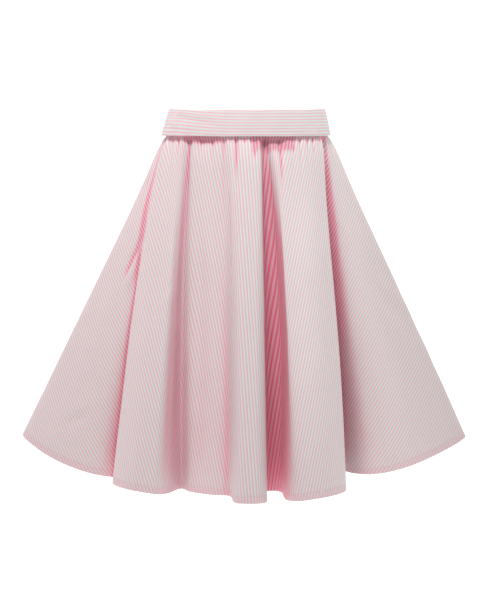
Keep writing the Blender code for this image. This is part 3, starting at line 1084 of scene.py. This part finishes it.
        # On the outer face the front's painted fold colours are added, and on each face a painted crease
        # shade where it bends in.
        if side > 0:
            full = full + self.glow()[0]
        return np.clip(full + CAVITY * side * self.hollow(), 0.0, 1.0).ravel()

    def glow(self) -> tuple[np.ndarray, np.ndarray]:
        """The painted colour that close folds pass to each other, and the painted shade for the light lost
        between them; the back has none.
        """
        degrees = np.degrees(self.plan.waist(self.at))[None, :]
        down = self.down[:, None]
        colour = np.zeros((len(self.down), len(self.at)))
        shade = np.zeros_like(colour)
        if self.side is Side.BACK:
            return colour, shade
        for glow in PAINTED_FOLD_SHADES:
            away = turn_from(degrees, glow.azimuth)
            half = np.where(away < 0, glow.left_angle, glow.right_angle)
            power = 10 if glow.left_angle > SOFT_GLOW else 2
            near = np.exp(-(np.abs(away / half) ** power))
            near = near * smooth(down, glow.start, glow.start + 0.012)
            near = near * (1 - smooth(down, 0.5 * glow.end, glow.end))
            colour += glow.strength * near
            shade += glow.shade * near
        for fold in PAINTED_LONG_FOLDS:
            table = np.array(fold)
            angle, half, strength, lost = (np.interp(down, table[:, 0], column) for column in table[:, 1:].T)
            away = (self.angles()[None, :] - np.radians(angle)) * (CUT_INNER_RADIUS + down)
            near = np.exp(-((away / half) ** 2))
            colour += strength * near
            shade += lost * near
        return colour, shade

    def hollow(self) -> np.ndarray:
        """How sharply the cloth bends inwards across its folds, -1 to 1."""
        before = self.outer[:, :-2]
        middle = self.outer[:, 1:-1]
        after = self.outer[:, 2:]
        width = np.maximum(np.linalg.norm(after - before, axis=2), 1e-6)
        bend = ((before + after - 2 * middle) * self.normal[:, 1:-1]).sum(axis=2) / width**2
        bend = np.pad(bend, ((0, 0), (1, 1)), mode="edge")
        kernel = np.array([0.25, 0.5, 0.25])
        for _ in range(2):
            bend = np.apply_along_axis(np.convolve, 1, bend, kernel, mode="same")
        return np.clip(bend / SHARP_BEND, -1.0, 1.0)

    def build(self, finish: bpy.types.Material, surround: BVHTree) -> bpy.types.Object:
        """Makes the closed shell of the panel, doubled over the hem."""
        hem = smooth(self.down, CLOTH_LENGTH - HEM_DEPTH - 0.001, CLOTH_LENGTH - HEM_DEPTH + 0.001)
        thickness = CLOTH_THICKNESS + (HEM_THICKNESS - CLOTH_THICKNESS) * hem
        inner = self.outer - self.normal * thickness[:, None, None]
        name = f"skirt_{self.side.value}_cloth"
        mesh = shell_mesh(name, self.outer, inner)
        cut = self.on_the_cut(self.down).reshape(-1, 3)
        under = self.on_the_cut(2 * CLOTH_LENGTH - self.down).reshape(-1, 3)
        doubled = np.broadcast_to(hem[:, None], self.outer.shape[:2]).ravel()
        # Painted shade of the front's folds; the inner face gets none.
        shade = self.glow()[1].ravel()
        for kept, outside, inside in (
            ("cut", cut, cut),
            ("under", under, under),
            ("doubled", doubled, doubled),
            # Painted fold shade for each face.
            ("fold", self.depth(surround, 1.0), self.depth(surround, -1.0)),
            ("shade", shade, np.zeros_like(shade)),
        ):
            add_values(mesh, kept, np.concatenate([outside, inside]))
        piece = add_object(name, mesh, finish)
        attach(piece, "root")
        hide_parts(f"skirt_{self.side.value}")
        LOG.info("%s: %d faces", name, len(mesh.polygons))
        return piece

    def row_at(self, down: float) -> tuple[np.ndarray, np.ndarray]:
        """Points and normals along the cloth at one distance below the band."""
        index = float(np.interp(down, self.down, np.arange(len(self.down))))
        low = min(int(index), len(self.down) - 2)
        share = index - low
        points = self.outer[low] * (1 - share) + self.outer[low + 1] * share
        normals = self.normal[low] * (1 - share) + self.normal[low + 1] * share
        return points, normals

    def flat_size(self) -> tuple[float, float, float]:
        """Width, length and area of the panel's flat cut, with its hem turn-up."""
        angle = self.angles()
        reach = CUT_HEM_RADIUS + HEM_DEPTH
        half = (angle[-1] - angle[0]) / 2
        width = 2 * reach * math.sin(min(half, math.pi / 2))
        length = reach - CUT_INNER_RADIUS * math.cos(half)
        area = half * (reach**2 - CUT_INNER_RADIUS**2)
        return width, length, area


@dataclass
class StitchLine:
    """A row of machine stitches that lies on a line of points."""

    name: str
    stitch: float = 0.0023
    pitch: float = 0.0030
    half_width: float = 0.00024
    bury: float = 0.00010

    def build(self, points: np.ndarray, normals: np.ndarray, finish: bpy.types.Material) -> bpy.types.Object:
        """Lays the stitches.

        Args:
            points: The line, on the cloth.
            normals: The cloth's outward normal at each point.
            finish: The thread.

        Returns:
            One joined piece.
        """
        steps = np.linalg.norm(np.diff(points, axis=0), axis=1)
        travelled = np.concatenate([[0.0], np.cumsum(steps)])
        count = int(travelled[-1] / self.pitch)
        starts = (np.arange(count) + 0.15) * self.pitch
        shares = np.array([0.0, 0.12, 0.5, 0.88, 1.0])
        swell = np.array([0.35, 0.9, 1.0, 0.9, 0.35])
        places = starts[:, None] + shares[None, :] * self.stitch
        line = np.stack([np.interp(places, travelled, points[:, axis]) for axis in range(3)], axis=-1)
        out = np.stack([np.interp(places, travelled, normals[:, axis]) for axis in range(3)], axis=-1)
        out /= np.linalg.norm(out, axis=2, keepdims=True)
        run = np.gradient(line, axis=1)
        run /= np.linalg.norm(run, axis=2, keepdims=True)
        wide = np.cross(run, out)
        sides = 5
        turn = np.arange(sides) * 2 * math.pi / sides + 0.3
        radius = self.half_width * swell[None, :, None, None]
        lift = self.half_width * (swell[None, :, None] ** 2) - self.bury
        ring = (line + out * lift)[:, :, None, :] + radius * (
            wide[:, :, None, :] * np.cos(turn)[None, None, :, None]
            + 0.75 * out[:, :, None, :] * np.sin(turn)[None, None, :, None]
        )
        rows = len(shares)
        row, side = np.meshgrid(np.arange(rows - 1) * sides, np.arange(sides), indexing="ij")
        after = (side + 1) % sides
        quads = np.stack([row + side, row + after, row + sides + after, row + sides + side], axis=-1)
        base = np.arange(count)[:, None, None] * rows * sides
        faces = (quads.reshape(1, -1, 4) + base).reshape(-1, 4)
        mesh = mesh_of(self.name, ring.reshape(-1, 3), faces)
        close_holes(mesh, 8)
        piece = add_object(self.name, mesh, finish)
        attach(piece, "root")
        LOG.info("%s: %d stitches", self.name, count)
        return piece


@dataclass
class Waistband:
    """Half of the waistband: flat in front, ruched over elastic at the back."""

    side: Side
    columns: int
    face_rows: int = 22
    ruches: int = 42
    ruche_height: float = 0.0016
    rounding: float = 0.0013

    def azimuths(self) -> np.ndarray:
        """The columns' azimuths in radians, from side seam to side seam."""
        edge = SEAM_GAP / 2 / BAND_FOOT_HALF_WIDTH
        centre = 0.0 if self.side is Side.FRONT else math.pi
        return centre + np.linspace(-math.pi / 2 + edge, math.pi / 2 - edge, self.columns + 1)

    def section(self) -> np.ndarray:
        """The band's cross-section as (distance in from the face, share of the height) pairs."""
        turn = np.linspace(0, math.pi / 2, 5)[1:-1]
        share = np.linspace(self.rounding / BAND_HEIGHT, 1 - self.rounding / BAND_HEIGHT, self.face_rows)
        curl = self.rounding * (1 - np.sin(turn))
        rise = self.rounding * (1 - np.cos(turn)) / BAND_HEIGHT
        outer = [(0.0, value) for value in share]
        foot = [(float(c), float(1 - r)) for c, r in zip(curl[::-1], rise[::-1])]
        foot += [(self.rounding, 1.0), (BAND_WALL - self.rounding, 1.0)]
        foot += [(float(BAND_WALL - c), float(1 - r)) for c, r in zip(curl, rise)]
        inner = [(BAND_WALL, value) for value in share[::-2]]
        head = [(float(BAND_WALL - c), float(r)) for c, r in zip(curl[::-1], rise[::-1])]
        head += [(BAND_WALL - self.rounding, 0.0), (self.rounding, 0.0)]
        head += [(float(c), float(r)) for c, r in zip(curl, rise)]
        return np.array(outer + foot + inner + head)

    def relief(self, azimuth: np.ndarray, share: np.ndarray) -> np.ndarray:
        """How far the face stands out: slight drag lines in front, ruches at the back."""
        degrees = np.degrees(azimuth)
        down = share * BAND_HEIGHT
        if self.side is Side.FRONT:
            offset = 0.0006 * np.sin(math.pi * share)
            reach = math.radians(1) * BAND_TOP_HALF_WIDTH
            for mark in BAND_MARKS:
                start = (mark.azimuth * reach, mark.down)
                end = (mark.end_azimuth * reach, mark.end_down)
                felt = line_profile(degrees * reach, down, start, end, mark.half_width)
                offset = offset + mark.height * felt
            return offset + 0.00025 * np.sin(degrees * 0.31 + 4 * share) + 0.0002 * np.sin(degrees * 0.83)
        along = (azimuth - math.pi / 2) / math.pi
        phase = 2 * math.pi * self.ruches * along
        phase = phase + 1.1 * np.sin(19 * along) + 0.8 * np.sin(47 * along + 5 * share)
        pinch = 1 - 0.55 * sum(np.exp(-(((share - line) / 0.05) ** 2)) for line in ELASTIC_LINES)
        fade = np.minimum(1.0, 16 * np.minimum(along, 1 - along))
        wave = 0.5 + 0.5 * np.sin(phase)
        return self.ruche_height * pinch * np.clip(fade, 0, 1) * wave**0.8

    def oval(self, azimuth: np.ndarray, share: np.ndarray, out: np.ndarray) -> tuple[np.ndarray, np.ndarray]:
        """The band's half width and half depth at a share of its height, `out` beyond its face."""
        width = BAND_TOP_HALF_WIDTH + (BAND_FOOT_HALF_WIDTH - BAND_TOP_HALF_WIDTH) * share + out
        width = width + LEFT_END_FLARE * share * smooth(-np.sin(azimuth), 0.2, 1.0)
        deep = BAND_TOP_HALF_DEPTH + (BAND_FOOT_HALF_DEPTH - BAND_TOP_HALF_DEPTH) * share + out
        return width, deep

    def points(self) -> np.ndarray:
        """The band's surface as section loops, one for each column."""
        section = self.section()
        azimuth = self.azimuths()[:, None]
        share = section[None, :, 1]
        depth = section[None, :, 0]
        outward = np.clip(1 - depth / BAND_WALL * 0.6, 0, 1)
        width, deep = self.oval(azimuth, share, self.relief(azimuth, share) * outward - depth)
        height = -BAND_HEIGHT * share - waist_dip(azimuth) + 0.0004 * np.sin(azimuth * 9 + 1) * (share - 0.5)
        height = height + FRONT_FOOT_RISE * share * np.maximum(np.cos(azimuth), 0.0)
        if self.side is Side.BACK:
            height = height + 0.0007 * np.sin(azimuth * 41) * (0.5 - share)
        return np.stack([width * np.sin(azimuth), -deep * np.cos(azimuth), height], axis=-1)

    def stripe_place(self, azimuth: np.ndarray, share: np.ndarray) -> np.ndarray:
        """Where each point lies across the stripes, which climb towards the left end in front."""
        down = share * BAND_HEIGHT
        if self.side is Side.BACK:
            return down + 0.0006 * np.sin(azimuth * 37)
        degrees = np.degrees(azimuth)
        bow = 0.45 + 0.55 * np.sin(math.pi * np.clip(share + 0.12, 0, 1))
        return down + STRIPE_CLIMB * smooth(-degrees, 8.0, 62.0) * bow

    def build(self, finish: bpy.types.Material) -> bpy.types.Object:
        """Makes the closed band."""
        points = self.points()
        columns, loop, _ = points.shape
        numbers = np.arange(columns * loop).reshape(columns, loop)
        after = np.roll(numbers, -1, axis=1)
        quads = np.stack([numbers[:-1], after[:-1], after[1:], numbers[1:]], axis=-1).reshape(-1, 4)
        name = f"waistband_{self.side.value}_cloth"
        mesh = mesh_of(name, points.reshape(-1, 3), quads)
        close_holes(mesh, 0)
        section = self.section()
        azimuth = np.broadcast_to(self.azimuths()[:, None], points.shape[:2])
        share = np.broadcast_to(section[None, :, 1], points.shape[:2])
        across = self.stripe_place(azimuth, share) + STRIPE_PITCH * 0.18
        along = azimuth * BAND_TOP_HALF_WIDTH
        flat = np.stack([across, along, np.zeros_like(across)], axis=-1).reshape(-1, 3)
        add_values(mesh, "cut", flat)
        piece = add_object(name, mesh, finish, 70.0)
        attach(piece, "root")
        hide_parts(f"waistband_{self.side.value}")
        LOG.info("%s: %d faces", name, len(mesh.polygons))
        return piece

    def stitch_line(self, share: float) -> tuple[np.ndarray, np.ndarray]:
        """Points and normals along the face at one share of its height."""
        azimuth = self.azimuths()
        width, deep = self.oval(azimuth, share, self.relief(azimuth, np.full_like(azimuth, share)))
        height = -BAND_HEIGHT * share - waist_dip(azimuth)
        points = np.column_stack([width * np.sin(azimuth), -deep * np.cos(azimuth), height])
        normals = np.column_stack([np.sin(azimuth) / width, -np.cos(azimuth) / deep, np.zeros_like(azimuth)])
        return points, normals / np.linalg.norm(normals, axis=1)[:, None]


@dataclass
class Skirt:
    """The whole skirt: two gathered panels, two waistband halves and their stitches."""

    plan: HemPlan = field(default_factory=HemPlan)

    def panels(self) -> tuple[SkirtPanel, SkirtPanel]:
        """The front and the back panel."""
        left, right = "left_side_seam", "right_side_seam"
        front = SkirtPanel(
            Side.FRONT,
            self.plan,
            left,
            right,
            columns=460,
            rows_top=32,
            rows_body=52,
            troughs=FRONT_TROUGHS,
            creases=FRONT_CREASES,
            seed=5,
        )
        back = SkirtPanel(Side.BACK, self.plan, right, left, columns=420, rows_top=30, rows_body=46, seed=11)
        return front, back

    def surround(self, panels: tuple[SkirtPanel, ...]) -> BVHTree:
        """The outer faces of all the cloth, to see how enclosed a fold is, for its painted shade."""
        points = []
        quads = []
        for panel in panels:
            rows, columns, _ = panel.outer.shape
            quads.append(grid_quads(rows, columns, sum(len(part) for part in points), False))
            points.append(panel.outer.reshape(-1, 3))
        return BVHTree.FromPolygons(np.concatenate(points).tolist(), np.concatenate(quads).tolist())

    def build(self) -> None:
        cotton = StripedCotton("striped_cotton").material()
        band_cotton = StripedCotton("striped_cotton_band").material()
        thread = Thread("sewing_thread").material()
        panels = self.panels()
        surround = self.surround(panels)
        for panel in panels:
            cloth = panel.build(cotton, surround)
            slot = "striped_cotton" if panel.side is Side.FRONT else "striped_cotton_back"
            points, normals = panel.row_at(CLOTH_LENGTH - HEM_DEPTH + STITCH_INSET)
            stitches = StitchLine(f"hem_stitches_{panel.side.value}").build(points, normals, thread)
            width, length, area = panel.flat_size()
            LOG.info("%s cut: %.3f by %.3f m, %.3f square metres", panel.side.value, width, length, area)
        for side, columns, width, slot in (
            (Side.FRONT, 150, 0.40, "striped_cotton_band"),
            (Side.BACK, 420, 0.46, "striped_cotton_elastic"),
        ):
            band = Waistband(side, columns)
            piece = band.build(band_cotton)
            if side is Side.BACK:
                for number, share in enumerate(ELASTIC_LINES, 1):
                    points, normals = band.stitch_line(share)
                    line = StitchLine(f"elastic_stitches_{number}").build(points, normals, thread)


@dataclass
class Studio:
    """A plain pale floor, soft lights and the camera at the photograph's angle."""

    camera_place: tuple[float, float, float] = (-0.0045, -2.2, 0.037)
    camera_fall: float = 10.242
    lens: float = 70.97
    floor_half: float = 60.0
    floor_glow: float = 0.62
    near_glow: float = 0.05
    front_level: float = 0.34
    back_level: float = 1.04
    sky_slope: tuple[float, float, float] = (-0.03, 0.0, 0.20)
    lamp_size: float = 0.45
    lamp_reach: float = 1.5
    lamp_aim: float = 0.10

    def add_camera(self) -> None:
        """The camera stands level with the waist and looks slightly down."""
        data = bpy.data.cameras.new("camera")
        data.lens = self.lens
        camera = bpy.data.objects.new("camera", data)
        camera.location = self.camera_place
        camera.rotation_euler = (math.radians(90 - self.camera_fall), 0, 0)
        bpy.context.scene.collection.objects.link(camera)
        bpy.context.scene.camera = camera

    def add_lamp(self, name: str, azimuth: float, elevation: float, strength: float, colour: Colour) -> None:
        """One large soft light, near enough to fade towards the hem.

        Args:
            name: Its name.
            azimuth: Degrees to the right of straight in front.
            elevation: Degrees above level.
            strength: Its power in watts.
            colour: Its colour.
        """
        data = bpy.data.lights.new(name, "AREA")
        data.shape = "DISK"
        data.energy = strength
        data.size = self.lamp_size
        data.color = colour
        lamp = bpy.data.objects.new(name, data)
        turn = math.radians(azimuth)
        rise = math.radians(elevation)
        source = Vector((math.sin(turn) * math.cos(rise), -math.cos(turn) * math.cos(rise), math.sin(rise)))
        lamp.location = Vector((0, 0, self.lamp_aim)) + source * self.lamp_reach
        lamp.rotation_euler = (-source).to_track_quat("-Z", "Y").to_euler()
        bpy.context.scene.collection.objects.link(lamp)

    def add_floor(self) -> None:
        """A matt white floor where the wearer would stand, lit up behind."""
        tree = Tree(bpy.data.materials.new("studio_floor"))
        place = tree.node("ShaderNodeTexCoord", {}, {}, "Object")
        tone = tree.noise(place, 0.6) * 0.02
        back = tree.part(place, 1).step(-1.0, 0.1)
        paint = tree.mix(back, (0.60, 0.60, 0.60, 1.0), (0.80, 0.80, 0.80, 1.0))
        tree.feed(tree.surface.inputs["Base Color"], tree.mix(tone, paint, (0.74, 0.74, 0.74, 1.0)))
        behind = back * (self.floor_glow - self.near_glow) + self.near_glow
        tree.feed(tree.surface.inputs["Emission Color"], tree.grey(behind))
        tree.constants({"Roughness": 0.9, "Specular IOR Level": 0.0, "Emission Strength": 1.0})
        half = self.floor_half
        corners = np.array([(-half, -half, 0), (half, -half, 0), (half, half, 0), (-half, half, 0)], float)
        mesh = mesh_of("studio_floor", corners, np.array([[0, 1, 2, 3]]))
        floor = add_object("studio_floor", mesh, tree.owner)
        floor.location.z = FLOOR_HEIGHT

    def add_world(self) -> None:
        """A white studio whose backdrop is brighter than its front."""
        tree = Tree(bpy.data.worlds.new("studio"))
        bpy.context.scene.world = tree.owner
        place = tree.node("ShaderNodeTexCoord", {}, {}, "Generated")
        behind = tree.part(place, 1).step(-0.10, 0.60)
        level = behind * (self.back_level - self.front_level) + self.front_level
        inputs = {0: place, 1: self.sky_slope}
        slope = tree.node("ShaderNodeVectorMath", {"operation": "DOT_PRODUCT"}, inputs, "Value")
        tree.feed(tree.surface.inputs["Strength"], level + slope)
        tree.constants({"Color": (1.0, 1.0, 1.0, 1.0)})

    def build(self) -> None:
        """Sets up the whole studio."""
        self.add_world()
        bpy.context.scene.view_settings.view_transform = "Standard"
        self.add_floor()
        self.add_lamp("key_light", -14, 54, 17.4, (1.0, 0.98, 0.985))
        self.add_lamp("fill_light", 66, 36, 3.6, (0.56, 1.0, 0.88))
        self.add_camera()
        LOG.info("studio ready")


def main() -> None:
    """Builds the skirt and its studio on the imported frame."""
    logging.basicConfig(level=logging.INFO, format="%(name)s %(message)s")
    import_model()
    Skirt().build()
    Studio().build()


if __name__ == "__main__":
    main()
